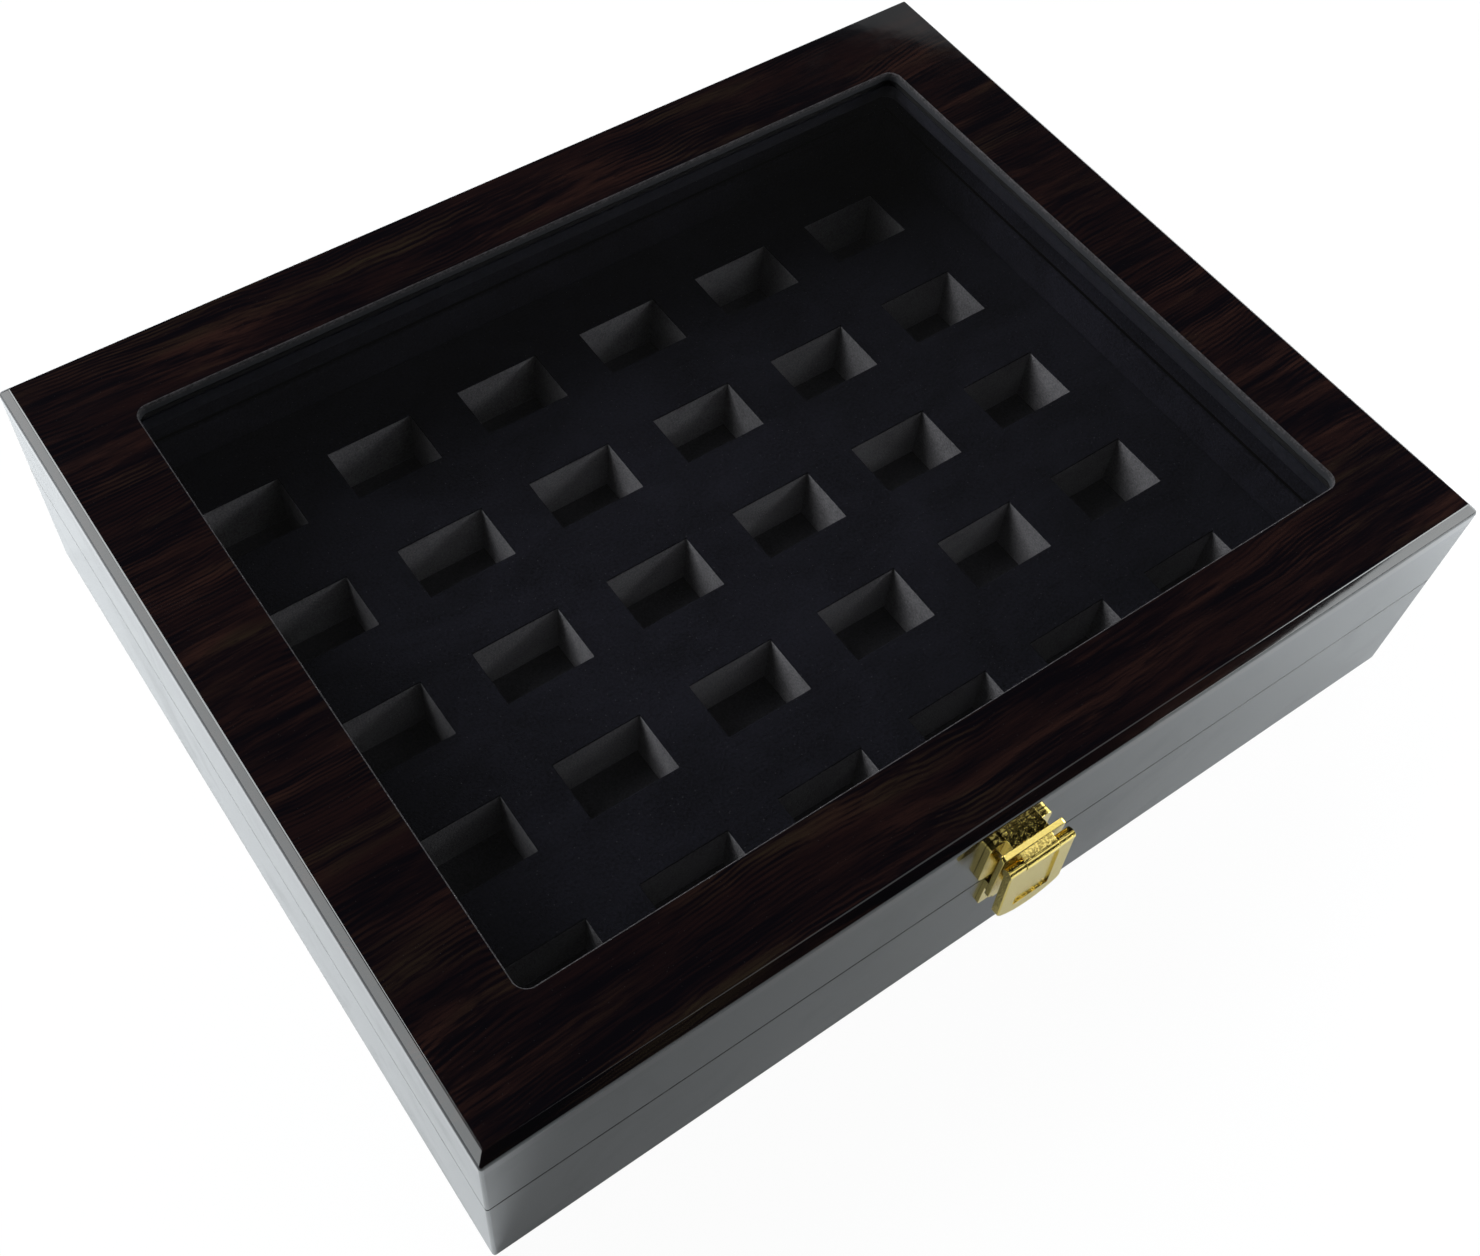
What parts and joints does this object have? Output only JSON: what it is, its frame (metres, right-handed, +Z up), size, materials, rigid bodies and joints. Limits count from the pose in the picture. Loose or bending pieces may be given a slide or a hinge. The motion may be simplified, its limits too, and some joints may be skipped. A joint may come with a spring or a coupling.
{
  "type": "ring display case",
  "caption": "Lacquered wooden display case with a glazed lid on stop hinges, a gilt flap latch and a slotted foam insert for rings.",
  "frame": {"origin": "centre of the felt-covered underside that the case stands on", "axes": "+Z up; the latch is at the front, towards -Y, and the hinges at the back, towards +Y; +X to the right seen from the front"},
  "size_m": [0.356, 0.3031, 0.089],
  "materials": {
    "lacquered_veneer": "dark streaked veneer under high-gloss lacquer",
    "window_glass": "clear float glass",
    "glazing_tape": "foam tape",
    "black_velvet": "short-pile velvet",
    "charcoal_foam": "soft cut foam",
    "base_felt": "pressed felt",
    "fibreboard": "stained fibreboard",
    "gilt_metal": "polished gilt",
    "hinge_brass": "brushed brass"
  },
  "bodies": {
    "base": {"base_front_wall": "lacquered_veneer", "base_back_wall": "lacquered_veneer", "base_left_wall": "lacquered_veneer", "base_right_wall": "lacquered_veneer", "base_bottom_panel": "fibreboard", "felt_base_sheet": "base_felt", "insert_floor_pad": "charcoal_foam", "foam_row_1": "charcoal_foam", "foam_row_2": "charcoal_foam", "foam_row_3": "charcoal_foam", "foam_row_4": "charcoal_foam", "foam_row_5": "charcoal_foam", "insert_facing": "black_velvet", "base_front_liner": "black_velvet", "base_back_liner": "black_velvet", "base_left_liner": "black_velvet", "base_right_liner": "black_velvet", "hinge_left_base_leaf": "hinge_brass", "hinge_right_base_leaf": "hinge_brass", "hinge_left_pin": "hinge_brass", "hinge_right_pin": "hinge_brass", "hinge_base_screws": "hinge_brass", "latch_keeper": "gilt_metal", "latch_keeper_screws": "gilt_metal"},
    "lid": {"lid_top_panel": "lacquered_veneer", "lid_front_wall": "lacquered_veneer", "lid_back_wall": "lacquered_veneer", "lid_left_wall": "lacquered_veneer", "lid_right_wall": "lacquered_veneer", "glass_pane": "window_glass", "glazing_tape": "glazing_tape", "lid_liner_frame": "fibreboard", "lid_front_liner": "black_velvet", "lid_back_liner": "black_velvet", "lid_left_liner": "black_velvet", "lid_right_liner": "black_velvet", "hinge_left_lid_leaf": "hinge_brass", "hinge_right_lid_leaf": "hinge_brass", "hinge_lid_screws": "hinge_brass", "latch_bracket": "gilt_metal", "latch_pin": "gilt_metal"},
    "latch_flap": {"latch_lever": "gilt_metal"}
  },
  "joints": [
    {"name": "lid_hinge", "type": "hinge", "parent": "base", "child": "lid", "pos_m": [0, 0.144, 0.0494], "axis": [-1, 0, 0], "range_deg": [0, 95]},
    {"name": "latch_flap_hinge", "type": "hinge", "parent": "lid", "child": "latch_flap", "pos_m": [-0.0077, -0.1505, 0.0776], "axis": [-1, 0, 0], "range_deg": [0, 110]}
  ]
}
